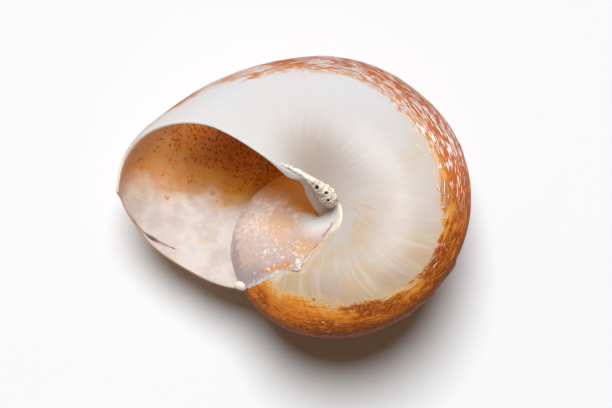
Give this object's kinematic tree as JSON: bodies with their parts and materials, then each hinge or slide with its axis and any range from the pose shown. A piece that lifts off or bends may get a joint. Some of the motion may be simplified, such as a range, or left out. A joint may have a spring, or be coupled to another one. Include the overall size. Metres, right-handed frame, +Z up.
{
  "type": "moon snail shell",
  "caption": "Whole round sea-snail shell lying on its spire, base and open mouth up, with a white porcelain base, an orange-brown rim band and a hollow living chamber",
  "frame": {"origin": "Middle of the bounding box, on the surface that the shell lies on", "axes": "+X from the free lip towards the back of the last whorl, the long way; +Y towards the side with the near lip; +Z up, out of the base and the mouth"},
  "size_m": [0.0644, 0.0516, 0.0317],
  "materials": {
    "shell": "glossy porcelain-like shell"
  },
  "bodies": {
    "root": {"shell": "shell"}
  },
  "joints": []
}
